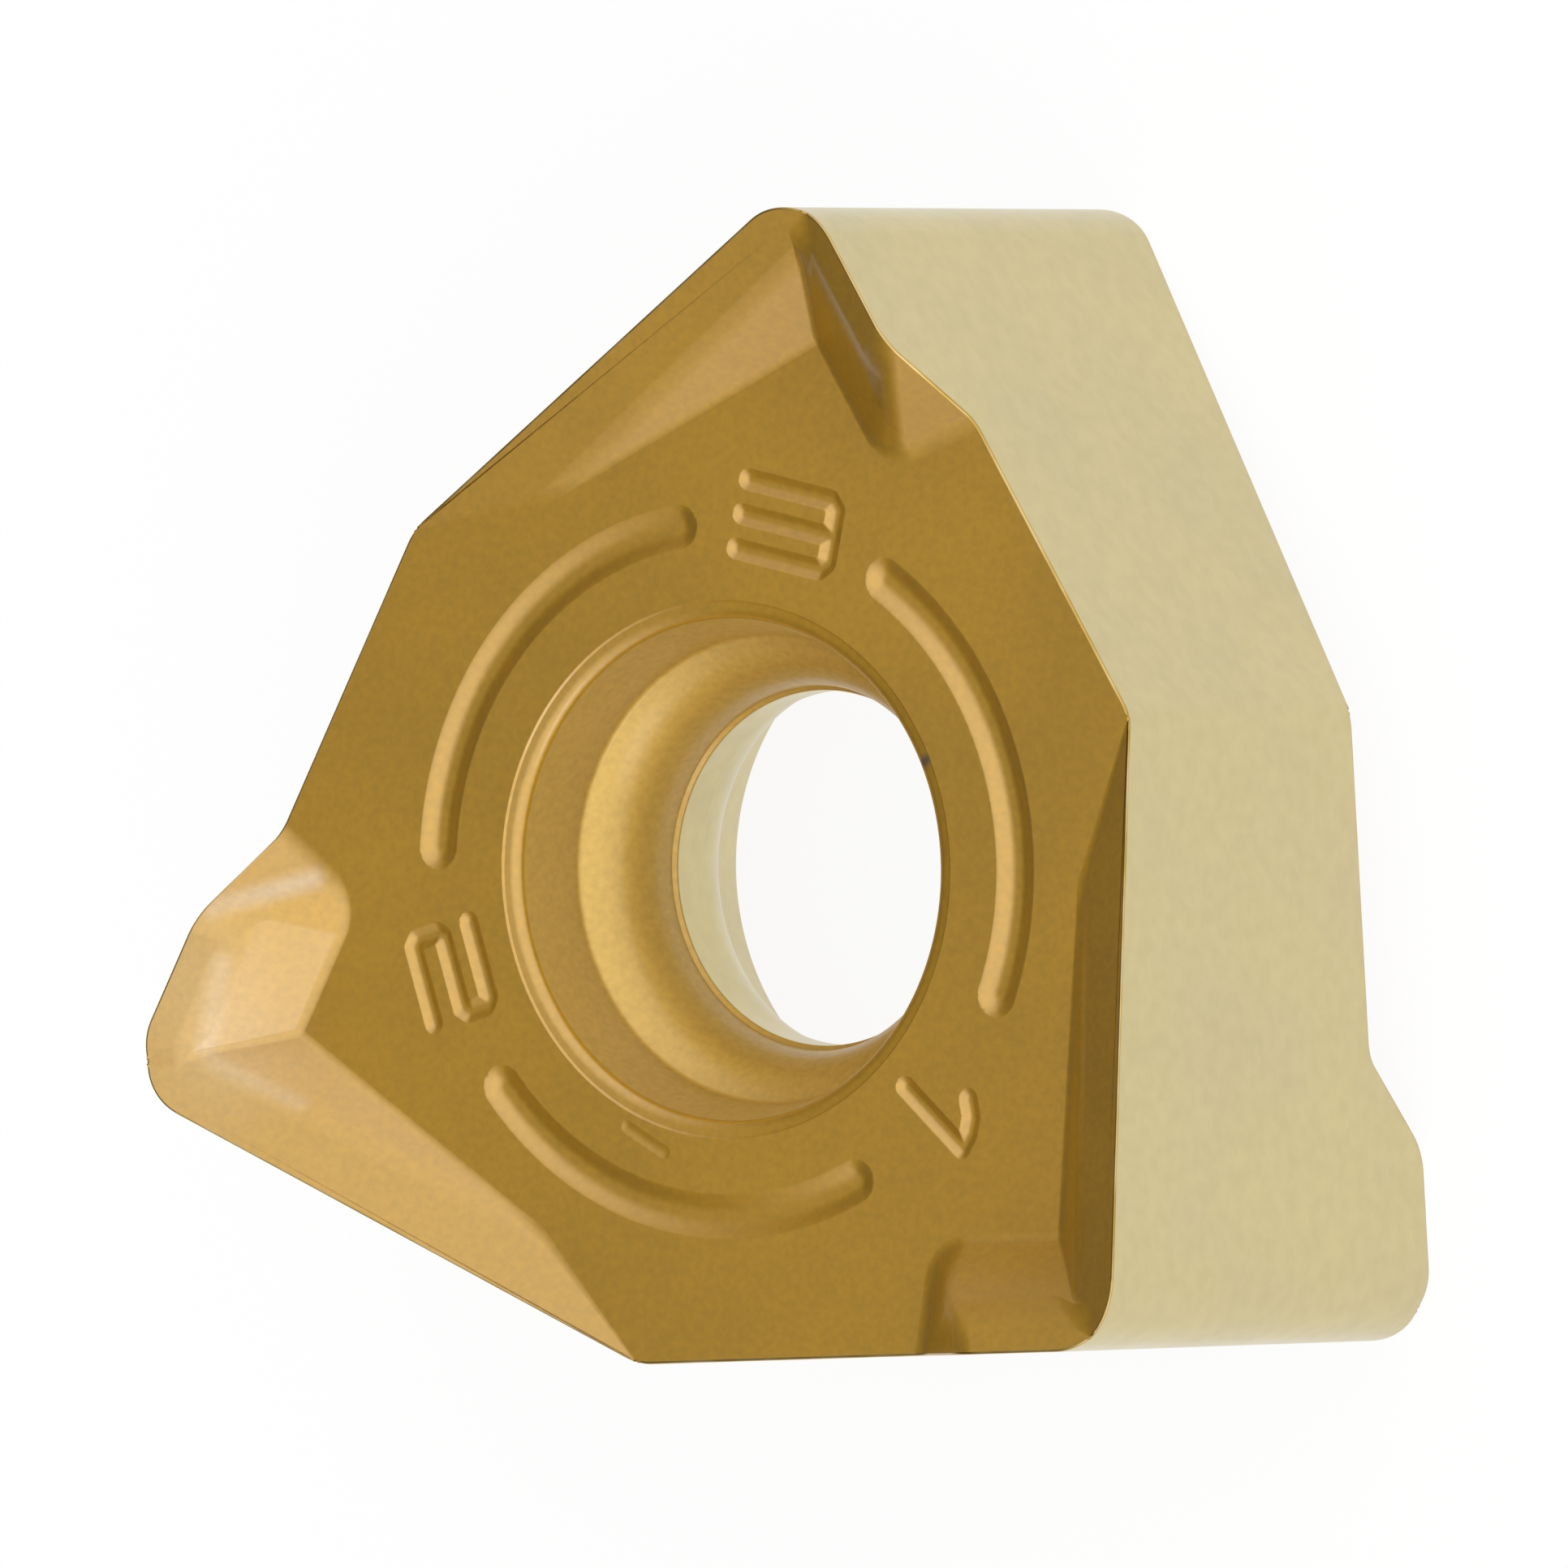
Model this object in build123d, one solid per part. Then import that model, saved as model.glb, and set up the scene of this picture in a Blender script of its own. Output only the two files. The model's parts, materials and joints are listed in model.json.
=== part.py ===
from build123d import *
from itertools import combinations
from math import cos, radians, sin, tan
import os

# Double-sided trigon milling insert with three corners a side, in millimetres.
# The origin is on the bore axis, half way through the thickness. +Z is the bore axis,
# and +Y points at corner number three of the upper side.

# ---- outline --------------------------------------------------------------------------------
INSCRIBED_DIAMETER = 12.7    # circle that touches all six flanks
CORNER_ANGLE = 88.5          # included angle of each of the three cutting corners
CORNER_RADIUS = 0.9
KNEE_RADIUS = 0.8            # rounding of the three blunt vertices between the corners
CORNERS = 3

# ---- thickness ------------------------------------------------------------------------------
SEAT_THICKNESS = 5.25        # from one flat seat to the other
CORNER_RISE = 1.14           # height of a cutting corner above its own seat

# ---- rake face, measured inwards and along an edge from the sharp corner ----------------------
LAND_ANGLE = 20.5            # slope of the outer land, down and inwards
BREAKER_ANGLE = 46.0         # slope of the steeper inner facet
MAIN_EDGE_SLOPE = 8.8        # the main edge climbs at this angle from the knee to the corner
MAIN_BEND_ALONG = 6.0        # where the land stops meeting the seat and the inner facet starts
MAIN_BEND_WIDTH = 0.87
MAIN_FACET_SPREAD = 7.6      # angle in plan between the foot of the inner facet and the main edge
MINOR_FOOT_WIDTH = 1.48      # from the minor edge to the foot of its inner facet
RAMP_ANGLE = 43.0            # end of the raised part of the minor edge
RAMP_FOOT_ALONG = 3.67
RAMP_FOOT_SKEW = 11.0        # angle in plan between the foot of the ramp and the edge's normal
RAMP_TOP_RADIUS = 0.6
RIDGE_RADIUS = 0.12          # soft pressed ridges between neighbouring facets
VALLEY_RADIUS = 0.14         # valleys between facets, and the feet of facets on the seat

# ---- screw hole, depths measured from either seat ---------------------------------------------
LIP_RADIUS = 3.45
LIP_CHAMFER_RADIUS = 3.27
LIP_CHAMFER_DEPTH = 0.09
CONE_FOOT_RADIUS = 3.03      # foot of the steep cone, where the bulging head seat starts
CONE_FOOT_DEPTH = 1.12
THROAT_RADIUS = 2.36
THROAT_DEPTH = 2.28
BORE_RADIUS = 2.3            # narrow land round the middle of the hole
BORE_STEP_DEPTH = 2.34

# ---- curved grooves pressed in both seats -----------------------------------------------------
GROOVE_CENTRE_RADIUS = 4.48
GROOVE_WIDTH = 0.56
GROOVE_DEPTH = 0.14
GROOVE_WALL_ANGLE = 50.0     # from vertical
GROOVE_SPAN = 85.5           # degrees, tip to tip
GROOVE_MIDDLE = 30.0         # direction of the first groove; the others follow each 120 degrees

UP = Vector(0, 0, 1)
LEVEL = 0.01                 # a facet leans less than upright when its normal rises by this much
HALF_SEAT = SEAT_THICKNESS / 2
HALF_BLANK = HALF_SEAT + 1.5 * CORNER_RISE

inscribed_radius = INSCRIBED_DIAMETER / 2
knee_angle = 240 - CORNER_ANGLE
corner_reach = inscribed_radius / sin(radians(CORNER_ANGLE / 2))
knee_reach = inscribed_radius / sin(radians(knee_angle / 2))


def on_circle(radius: float, angle: float) -> Vector:
    """Return a point of the XY plane from its radius and its angle in degrees."""
    return Vector(radius * cos(radians(angle)), radius * sin(radians(angle)), 0)


def make_outline() -> Sketch:
    """Return the rounded six-sided outline, with corners at 90, 210 and 330 degrees."""
    points = []
    for index in range(CORNERS):
        points.append(on_circle(corner_reach, 90 + 120 * index))
        points.append(on_circle(knee_reach, 150 + 120 * index))
    face = make_face(Polyline(*points, close=True))
    middle = (corner_reach + knee_reach) / 2
    face = fillet(face.vertices().filter_by(lambda vertex: Vector(vertex).length > middle), CORNER_RADIUS)
    knees = [point for point in points if point.length < middle]
    return fillet([face.vertices().sort_by_distance(knee)[0] for knee in knees], KNEE_RADIUS)


class CuttingEdge:
    """One straight edge of the upper rake face, as a frame that starts at its sharp corner."""

    def __init__(self, turn: int):
        """Point the frame from the corner at 90 degrees to the knee one way or the other."""
        self.corner = on_circle(corner_reach, 90)
        along = on_circle(knee_reach, 90 + 60 * turn) - self.corner
        self.length = along.length
        self.along = along.normalized()
        self.inwards = UP.cross(self.along) * turn

    def point(self, along: float, inwards: float, height: float) -> Vector:
        """Return the point at these distances from the sharp corner and above the seat."""
        return self.corner + self.along * along + self.inwards * inwards + UP * (HALF_SEAT + height)

    def facet(self, at: Vector, fall_along: float, fall_inwards: float) -> Plane:
        """Return the plane through a point that falls by these slopes along and across the edge."""
        normal = self.along * fall_along + self.inwards * fall_inwards + UP
        return Plane(origin=at, z_dir=normal)


def below(blank: Part, *facets: Plane) -> Part:
    """Return what is left of the blank under all the facets."""
    for plane in facets:
        blank = split(blank, bisect_by=plane, keep=Keep.BOTTOM)
    return blank


def make_corner_pads(blank: Part) -> list[Part]:
    """Return the raised main and minor pads of one corner, cut from the space above the seat."""
    land_fall = tan(radians(LAND_ANGLE))
    breaker_fall = tan(radians(BREAKER_ANGLE))
    climb = tan(radians(MAIN_EDGE_SLOPE))
    ramp_fall = tan(radians(RAMP_ANGLE))

    main = CuttingEdge(1)
    main_land = main.facet(main.point(main.length, 0, 0), climb, land_fall)
    spread = breaker_fall * tan(radians(MAIN_FACET_SPREAD))
    main_breaker = main.facet(main.point(MAIN_BEND_ALONG, MAIN_BEND_WIDTH, 0), spread, breaker_fall)

    minor = CuttingEdge(-1)
    minor_land = minor.facet(minor.point(0, 0, CORNER_RISE), 0, land_fall)
    minor_breaker = minor.facet(minor.point(0, MINOR_FOOT_WIDTH, 0), 0, breaker_fall)
    skew = ramp_fall * tan(radians(RAMP_FOOT_SKEW))
    ramp = minor.facet(minor.point(RAMP_FOOT_ALONG, 0, 0), ramp_fall, skew)

    return [below(blank, main_land, main_breaker), below(blank, minor_land, minor_breaker, ramp)]


def make_rake_space() -> Part:
    """Return the space above the upper rake face: all that the press punch takes up."""
    reach = 2.4 * corner_reach
    floor = Plane.XY.offset(HALF_SEAT)
    space = extrude(floor * Rectangle(reach, reach), amount=HALF_BLANK)
    pads = make_corner_pads(space)
    for index in range(CORNERS):
        space -= [pad.rotate(Axis.Z, 120 * index) for pad in pads]
    return space


def rake_creases(blank: Part, side: int, hollow: bool) -> ShapeList[Edge]:
    """Return the creases between flat facets of one side: its valleys, or its ridges."""
    facets = blank.faces().filter_by(GeomType.PLANE)
    facets = facets.filter_by(lambda face: face.normal_at().Z * side > LEVEL)
    creases = ShapeList()
    for facet, neighbour in combinations(facets, 2):
        creases += facet.edges() & neighbour.edges()
    return creases.filter_by(lambda edge: edge.is_interior == hollow)


def soften_rake(blank: Part, side: int) -> Part:
    """Round the ramp tops of one side, then its other ridges, then its valleys and feet."""
    ramp_tops = rake_creases(blank, side, hollow=False).sort_by(Edge.length)[:CORNERS]
    blank = fillet(ramp_tops, RAMP_TOP_RADIUS)
    blank = fillet(rake_creases(blank, side, hollow=False), RIDGE_RADIUS)
    return fillet(rake_creases(blank, side, hollow=True), VALLEY_RADIUS)


def make_screw_hole() -> Part:
    """Return the upper half of the screw hole: bore land, bulging head seat, cone and lip."""
    step = (BORE_RADIUS, HALF_SEAT - BORE_STEP_DEPTH)
    throat = (THROAT_RADIUS, HALF_SEAT - THROAT_DEPTH)
    cone_foot = (CONE_FOOT_RADIUS, HALF_SEAT - CONE_FOOT_DEPTH)
    chamfer_foot = (LIP_CHAMFER_RADIUS, HALF_SEAT - LIP_CHAMFER_DEPTH)
    wall = Polyline((0, 0), (BORE_RADIUS, 0), step, throat)
    head_seat = TangentArc(throat, cone_foot, tangent=(0, 1))
    lip = Polyline(cone_foot, chamfer_foot, (LIP_RADIUS, HALF_SEAT), (0, HALF_SEAT), (0, 0))
    return revolve(Plane.XZ * make_face(wall + head_seat + lip), axis=Axis.Z)


def make_grooves() -> Part:
    """Return the space of the three curved grooves in the upper seat."""
    tip_angle = GROOVE_WIDTH / 2 / GROOVE_CENTRE_RADIUS / radians(1)
    half_span = GROOVE_SPAN / 2 - tip_angle
    path = CenterArc((0, 0), GROOVE_CENTRE_RADIUS, GROOVE_MIDDLE - half_span, 2 * half_span)
    slot = Plane.XY.offset(HALF_SEAT) * SlotArc(path, GROOVE_WIDTH)
    groove = extrude(slot, amount=-GROOVE_DEPTH, taper=GROOVE_WALL_ANGLE)
    return Part() + [groove.rotate(Axis.Z, 120 * index) for index in range(CORNERS)]


def cut_both_sides(blank: Part, tool: Part) -> Part:
    """Cut a tool out of the upper side, and out of the underside by turning it over."""
    turn_over = Axis((0, 0, 0), on_circle(1, GROOVE_MIDDLE))
    return blank - tool - tool.rotate(turn_over, 180)


body = extrude(make_outline(), amount=HALF_BLANK, both=True)
body = cut_both_sides(body, make_rake_space())
for side in (1, -1):
    body = soften_rake(body, side)
body = cut_both_sides(body, make_screw_hole())
body = cut_both_sides(body, make_grooves())

os.makedirs("parts", exist_ok=True)
export_step(body, "parts/insert.step")
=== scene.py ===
"""The looks of a double-sided trigon milling insert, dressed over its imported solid.

Sizes are in millimetres. Each mesh is modelled with one Blender unit to the millimetre, and is
scaled to metres when it is finished.
"""
import json
import logging
import math
from collections.abc import Callable
from dataclasses import dataclass
from enum import Enum
from functools import cached_property

import bmesh
import bpy
from mathutils import Matrix, Vector

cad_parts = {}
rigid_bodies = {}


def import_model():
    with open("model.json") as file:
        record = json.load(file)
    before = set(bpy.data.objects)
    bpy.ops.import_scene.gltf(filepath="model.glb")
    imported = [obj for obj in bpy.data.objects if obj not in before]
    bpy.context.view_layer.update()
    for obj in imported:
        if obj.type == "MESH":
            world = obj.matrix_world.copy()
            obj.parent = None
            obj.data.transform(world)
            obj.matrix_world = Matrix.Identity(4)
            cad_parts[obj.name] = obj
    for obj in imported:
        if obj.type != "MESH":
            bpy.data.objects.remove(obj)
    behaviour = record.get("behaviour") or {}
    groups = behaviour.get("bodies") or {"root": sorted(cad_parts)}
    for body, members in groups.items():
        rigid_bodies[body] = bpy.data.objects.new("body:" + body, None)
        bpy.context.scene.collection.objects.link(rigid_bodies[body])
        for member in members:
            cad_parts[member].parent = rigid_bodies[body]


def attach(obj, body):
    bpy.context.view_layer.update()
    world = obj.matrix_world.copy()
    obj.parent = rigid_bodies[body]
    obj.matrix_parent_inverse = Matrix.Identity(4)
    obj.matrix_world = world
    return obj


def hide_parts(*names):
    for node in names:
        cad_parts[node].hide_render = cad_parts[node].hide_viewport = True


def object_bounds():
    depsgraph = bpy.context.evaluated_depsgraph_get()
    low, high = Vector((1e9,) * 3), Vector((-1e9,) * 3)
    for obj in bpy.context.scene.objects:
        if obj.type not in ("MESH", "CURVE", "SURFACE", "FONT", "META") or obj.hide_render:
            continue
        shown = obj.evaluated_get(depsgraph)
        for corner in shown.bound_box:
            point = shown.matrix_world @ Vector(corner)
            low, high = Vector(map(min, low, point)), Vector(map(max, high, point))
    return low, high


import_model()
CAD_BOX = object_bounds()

log = logging.getLogger("milling_insert")

MILLIMETRE = 0.001
NODE = "insert"
BODY = "root"
CORNERS = 3
THIRD = math.radians(120)
INSIDE = 0.9999        # shrinks the mesh in plan by a hair, so that it stays inside the solid's box
UPRIGHT = 0.02         # a normal whose Z is smaller than this is a flank's
ON_FACET = 0.002       # a point this near to a facet's plane lies on it
ON_CUT = 1e-5          # a vertex this near to a cut is used by it
WELD = 0.001           # vertices nearer to each other than this become one
SEAM = 0.0005          # how far apart the two sides of a hairline seam may be

Test = Callable[..., bool]
Stroke = tuple[tuple[float, float], ...]


class Finish(Enum):
    """Which of the piece's material slots a face takes."""

    BLASTED = 0
    FLANK = 1
    HONED = 2
    BORE = 3


def deselect_everything() -> None:
    """Leave edit mode and clear the selection."""
    if bpy.context.object and bpy.context.object.mode != "OBJECT":
        bpy.ops.object.mode_set(mode="OBJECT")
    bpy.ops.object.select_all(action="DESELECT")


def make_active(obj: bpy.types.Object) -> None:
    """Select one object alone and make it the active one.

    Args:
        obj: The object that the next operators act on.
    """
    deselect_everything()
    obj.select_set(True)
    bpy.context.view_layer.objects.active = obj


def open_mesh(obj: bpy.types.Object) -> None:
    """Make an object active and enter its edit mode."""
    make_active(obj)
    bpy.ops.object.mode_set(mode="EDIT")


def close_mesh() -> None:
    """Leave edit mode."""
    bpy.ops.object.mode_set(mode="OBJECT")


def select_parts(kind: str, wanted: Test) -> None:
    """Select the vertices, edges or faces of the mesh in edit mode that pass a test.

    Args:
        kind: "VERT", "EDGE" or "FACE".
        wanted: A function of one bmesh element that says whether to select it.
    """
    bpy.ops.mesh.select_mode(type=kind)
    bpy.ops.mesh.select_all(action="DESELECT")
    mesh = bpy.context.edit_object.data
    shape = bmesh.from_edit_mesh(mesh)
    parts = {"VERT": shape.verts, "EDGE": shape.edges, "FACE": shape.faces}[kind]
    for part in [part for part in parts if wanted(part)]:
        part.select_set(True)
    shape.select_flush_mode()
    bmesh.update_edit_mesh(mesh)


def face_outwards() -> None:
    """Turn every face of the mesh in edit mode outwards, and leave all of it selected."""
    bpy.ops.mesh.select_all(action="SELECT")
    bpy.ops.mesh.normals_make_consistent(inside=False)


def duplicate(obj: bpy.types.Object) -> bpy.types.Object:
    """Copy an object with a mesh of its own.

    Args:
        obj: The object to copy.

    Returns:
        The copy.
    """
    make_active(obj)
    bpy.ops.object.duplicate(linked=False)
    return bpy.context.object


def turn(obj: bpy.types.Object, matrix: Matrix) -> bpy.types.Object:
    """Turn an object and write its new place into its mesh.

    Args:
        obj: The object to turn.
        matrix: Its new place and angle.

    Returns:
        The same object.
    """
    make_active(obj)
    obj.matrix_world = matrix
    bpy.ops.object.transform_apply(location=True, rotation=True, scale=True)
    return obj


def join(pieces: list[bpy.types.Object]) -> bpy.types.Object:
    """Join meshes into the first of them.

    Args:
        pieces: The objects to join.

    Returns:
        The joined object.
    """
    make_active(pieces[0])
    for piece in pieces[1:]:
        piece.select_set(True)
    bpy.ops.object.join()
    return bpy.context.object


def seal_seams(obj: bpy.types.Object) -> None:
    """Close the hairline seams where one long edge lies along two short ones.

    Args:
        obj: A mesh in edit mode, whole but for such seams.
    """
    shape = bmesh.from_edit_mesh(obj.data)
    for _ in range(4):
        seams = [edge for edge in shape.edges if edge.is_boundary]
        ends = [vertex for vertex in shape.verts if vertex.is_boundary]
        for edge in seams:
            start, end = edge.verts[0].co.copy(), edge.verts[1].co.copy()
            run = end - start
            for vertex in ends:
                share = (vertex.co - start).dot(run) / run.length_squared
                if 0.01 < share < 0.99 and (start + run * share - vertex.co).length < SEAM:
                    _, added = bmesh.utils.edge_split(edge, edge.verts[0], share)
                    added.co = vertex.co
                    break
        ends = [vertex for vertex in shape.verts if vertex.is_boundary]
        bmesh.ops.remove_doubles(shape, verts=ends, dist=WELD)
    bmesh.ops.collapse(shape, edges=[edge for edge in shape.edges if len(edge.link_faces) > 2])
    bmesh.update_edit_mesh(obj.data)


# ---- the insert's form ------------------------------------------------------------------------


@dataclass(frozen=True)
class TrigonOutline:
    """The six-sided outline, with cutting corners at 90, 210 and 330 degrees."""

    inscribed_radius: float = 6.35
    corner_angle: float = 88.5
    corner_radius: float = 0.9
    knee_radius: float = 0.8
    corner_segments: int = 24
    knee_segments: int = 8

    @property
    def corner_reach(self) -> float:
        """Distance from the axis to a corner before it is rounded."""
        return self.inscribed_radius / math.sin(math.radians(self.corner_angle / 2))

    @property
    def knee_reach(self) -> float:
        """Distance from the axis to a knee before it is rounded."""
        return self.inscribed_radius / math.sin(math.radians(120 - self.corner_angle / 2))

    def model(self) -> bpy.types.Object:
        """Model the flat outline as one face.

        Returns:
            The outline, lying in the middle plane.
        """
        deselect_everything()
        bpy.ops.mesh.primitive_circle_add(
            vertices=2 * CORNERS, radius=self.corner_reach, fill_type="NGON", enter_editmode=True
        )
        middle = (self.corner_reach + self.knee_reach) / 2
        knees = self.knee_reach / self.corner_reach
        select_parts("VERT", lambda vertex: round(math.degrees(
            math.atan2(vertex.co.y, vertex.co.x))) % 120 == 30)
        bpy.ops.transform.resize(value=(knees, knees, 1), center_override=(0, 0, 0))
        self.round_off(lambda vertex: vertex.co.length > middle, self.corner_angle,
                       self.corner_radius, self.corner_segments)
        self.round_off(lambda vertex: abs(vertex.co.length - self.knee_reach) < 0.01,
                       240 - self.corner_angle, self.knee_radius, self.knee_segments)
        return bpy.context.object

    def round_off(self, wanted: Test, angle: float, radius: float, segments: int) -> None:
        """Round vertices of the outline in its plane.

        Args:
            wanted: A test that picks the vertices.
            angle: The angle inside each of them, in degrees.
            radius: The radius to round them to.
            segments: How many edges each arc gets.
        """
        select_parts("VERT", wanted)
        half_angle = math.radians(angle / 2)
        shape = bmesh.from_edit_mesh(bpy.context.edit_object.data)
        centres = [
            vertex.co.normalized() * (vertex.co.length - radius / math.sin(half_angle))
            for vertex in shape.verts if vertex.select
        ]
        bpy.ops.mesh.bevel(
            offset=radius / math.tan(half_angle), segments=segments, affect="VERTICES", profile=0.5
        )
        shape = bmesh.from_edit_mesh(bpy.context.edit_object.data)
        for vertex in shape.verts:
            if vertex.select:
                centre = min(centres, key=lambda point: (point - vertex.co).length)
                vertex.co = centre + (vertex.co - centre).normalized() * radius
        bmesh.update_edit_mesh(bpy.context.edit_object.data)


@dataclass(frozen=True)
class Facet:
    """A flat facet of the rake face: its height at a point in plan, and how it falls away."""

    place: Vector
    height: float
    fall: Vector

    def height_at(self, point: Vector) -> float:
        """Return the height of the facet's plane over a point in plan."""
        return self.height - self.fall.dot(point.to_2d() - self.place)

    def turned(self, index: int) -> "Facet":
        """Return the same facet at another corner, a third of a turn on for each index."""
        step = Matrix.Rotation(index * THIRD, 2)
        return Facet(step @ self.place, self.height, step @ self.fall)


@dataclass(frozen=True)
class Crease:
    """Where two facets meet, and how far from it its rounding starts on each facet.

    A crease that runs from a peak cuts only the faces near that peak.
    """

    one: Facet
    other: Facet
    reach: float
    around: Vector | None = None
    near: float = 1.8

    def cuts(self, face: bmesh.types.BMFace) -> bool:
        """Return whether a face is one that this crease may cut."""
        return abs(face.normal.z) > 0.5 and (self.around is None or any(
            (vertex.co.xy - self.around).length < self.near for vertex in face.verts))

    def passes(self, point: Vector) -> bool:
        """Return whether both facets meet at this point in space."""
        return all(abs(facet.height_at(point) - point.z) < ON_FACET
                   for facet in (self.one, self.other))

    def plane(self) -> tuple[Vector, Vector]:
        """Find the upright plane that holds the crease.

        Returns:
            A point of the plane and its normal.
        """
        across = self.one.fall - self.other.fall
        step = self.one.height_at(Vector((0, 0, 0))) - self.other.height_at(Vector((0, 0, 0)))
        return (across * step / across.length_squared).to_3d(), across.normalized().to_3d()


@dataclass(frozen=True)
class RakeFace:
    """The seat and the raised chip-breaker facets of one side, measured from each sharp corner."""

    outline: TrigonOutline
    seat_height: float = 2.625
    corner_rise: float = 1.14
    land_angle: float = 20.5
    breaker_angle: float = 46.0
    main_edge_slope: float = 8.8
    main_bend_along: float = 6.0
    main_bend_width: float = 0.87
    main_facet_spread: float = 7.6
    minor_foot_width: float = 1.48
    ramp_angle: float = 43.0
    ramp_foot_along: float = 3.67
    ramp_foot_skew: float = 11.0
    fan_steps: int = 8
    fan_roundness: float = 0.65
    ridge_reach: float = 0.17
    minor_ridge_reach: float = 0.25
    foot_reach: float = 0.07
    valley_reach: float = 0.08
    land_valley_reach: float = 0.22
    ramp_top_reach: float = 0.25
    ramp_foot_reach: float = 0.17
    crease_segments: int = 6
    hone_width: float = 0.035

    def edge_frame(self, way: int) -> tuple[Vector, Vector, Vector, float]:
        """Lay a frame along a cutting edge.

        Args:
            way: 1 for the main edge of the corner at 90 degrees, -1 for its minor edge.

        Returns:
            The edge's sharp corner, its direction, the direction inwards and its length.
        """
        corner = Vector((0, self.outline.corner_reach))
        turned = math.radians(90 + 60 * way)
        along = Vector((math.cos(turned), math.sin(turned))) * self.outline.knee_reach - corner
        length = along.length
        along.normalize()
        return corner, along, Vector((-along.y, along.x)) * way, length

    def facet(self, way: int, along: float, inwards: float, rise: float, fall_along: float,
              fall_inwards: float) -> Facet:
        """Place and slope a facet in the frame of a cutting edge.

        Args:
            way: Which edge, as in edge_frame.
            along: Distance of a point of the facet from the sharp corner.
            inwards: Its distance from the edge.
            rise: Its height above the seat.
            fall_along: How fast the facet falls along the edge.
            fall_inwards: How fast it falls inwards.

        Returns:
            The facet.
        """
        corner, tangent, inward, _ = self.edge_frame(way)
        place = corner + tangent * along + inward * inwards
        return Facet(place, self.seat_height + rise, tangent * fall_along + inward * fall_inwards)

    @cached_property
    def corner_facets_turned(self) -> list[dict[str, Facet]]:
        """The facets of each corner by their names."""
        return [{name: facet.turned(index) for name, facet in self.corner_facets().items()}
                for index in range(CORNERS)]

    def corner_facets(self) -> dict[str, Facet]:
        """Lay out the facets of the corner at 90 degrees.

        Returns:
            The facets by their names.
        """
        land, breaker, ramp, climb, spread, skew = (
            math.tan(math.radians(angle)) for angle in
            (self.land_angle, self.breaker_angle, self.ramp_angle, self.main_edge_slope,
             self.main_facet_spread, self.ramp_foot_skew)
        )
        length = self.edge_frame(1)[3]
        facets = {
            "seat": Facet(Vector((0, 0)), self.seat_height, Vector((0, 0))),
            "main_land": self.facet(1, length, 0, 0, climb, land),
            "main_breaker": self.facet(1, self.main_bend_along, self.main_bend_width, 0,
                                       breaker * spread, breaker),
            "minor_land": self.facet(-1, 0, 0, self.corner_rise, 0, land),
            "minor_breaker": self.facet(-1, 0, self.minor_foot_width, 0, 0, breaker),
            "ramp": self.facet(-1, self.ramp_foot_along, 0, 0, ramp, ramp * skew),
        }
        return facets | self.fan(facets["ramp"], facets["minor_breaker"], facets["minor_land"])

    def fan(self, ramp: Facet, breaker: Facet, land: Facet) -> dict[str, Facet]:
        """Turn the ramp into the minor breaker round their shared peak, in narrow facets.

        Args:
            ramp: The ramp.
            breaker: The minor breaker.
            land: The land that both meet at the peak.

        Returns:
            The facets by their names.
        """
        constants = [facet.height + facet.fall.dot(facet.place) for facet in (ramp, breaker, land)]
        one, two = ramp.fall - breaker.fall, ramp.fall - land.fall
        first, second = constants[0] - constants[1], constants[0] - constants[2]
        size = one.x * two.y - one.y * two.x
        peak = Vector(((first * two.y - second * one.y) / size,
                       (one.x * second - two.x * first) / size))
        start = math.atan2(ramp.fall.y, ramp.fall.x)
        swing = math.remainder(math.atan2(breaker.fall.y, breaker.fall.x) - start, math.tau)
        turned = {}
        for step in range(1, self.fan_steps):
            share = step / self.fan_steps
            steep = ramp.fall.length * (1 - share) + breaker.fall.length * share
            bulge = math.cos(swing * (share - 0.5)) / math.cos(swing / 2)
            steep /= self.fan_roundness + (1 - self.fan_roundness) * bulge
            angle = start + swing * share
            fall = Vector((math.cos(angle), math.sin(angle))) * steep
            turned[f"fan_{step}"] = Facet(peak, ramp.height_at(peak), fall)
        return turned

    def creases(self) -> list[Crease]:
        """Find every crease of the side.

        Returns:
            The creases in the order in which they are cut: corner by corner, then the fans.
        """
        pairs = (
            ("main_land", "seat", self.foot_reach),
            ("main_land", "main_breaker", self.ridge_reach),
            ("main_breaker", "seat", self.foot_reach),
            ("minor_land", "minor_breaker", self.minor_ridge_reach),
            ("minor_breaker", "seat", self.foot_reach),
            ("ramp", "seat", self.ramp_foot_reach),
            ("ramp", "minor_land", self.ramp_top_reach),
            ("main_land", "minor_land", self.land_valley_reach),
            ("main_land", "minor_breaker", self.valley_reach),
            ("main_breaker", "minor_breaker", self.valley_reach),
        )
        found = [Crease(facets[one], facets[other], reach)
                 for facets in self.corner_facets_turned for one, other, reach in pairs]
        for facets in self.corner_facets_turned:
            fan = [facet for name, facet in facets.items() if name.startswith("fan")]
            chain = [facets["ramp"]] + fan + [facets["minor_breaker"]]
            peak = fan[0].place
            found += [Crease(one, other, 0, peak) for one, other in zip(chain, chain[1:])]
            for step, facet in enumerate(fan, 1):
                share = step / self.fan_steps
                reach = self.ramp_foot_reach * (1 - share) + self.foot_reach * share
                found.append(Crease(facet, facets["seat"], reach, peak))
        return found

    def height_at(self, point: Vector) -> float:
        """Find the height of the rake face.

        Args:
            point: The point in plan.

        Returns:
            The height over it, from the middle plane.
        """
        heights = [self.seat_height]
        for facets in self.corner_facets_turned:
            here = {name: facet.height_at(point)
                    for name, facet in facets.items() if name != "seat"}
            heights.append(min(here.pop("main_land"), here.pop("main_breaker")))
            heights.append(min(here.values()))
        return max(heights)

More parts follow.
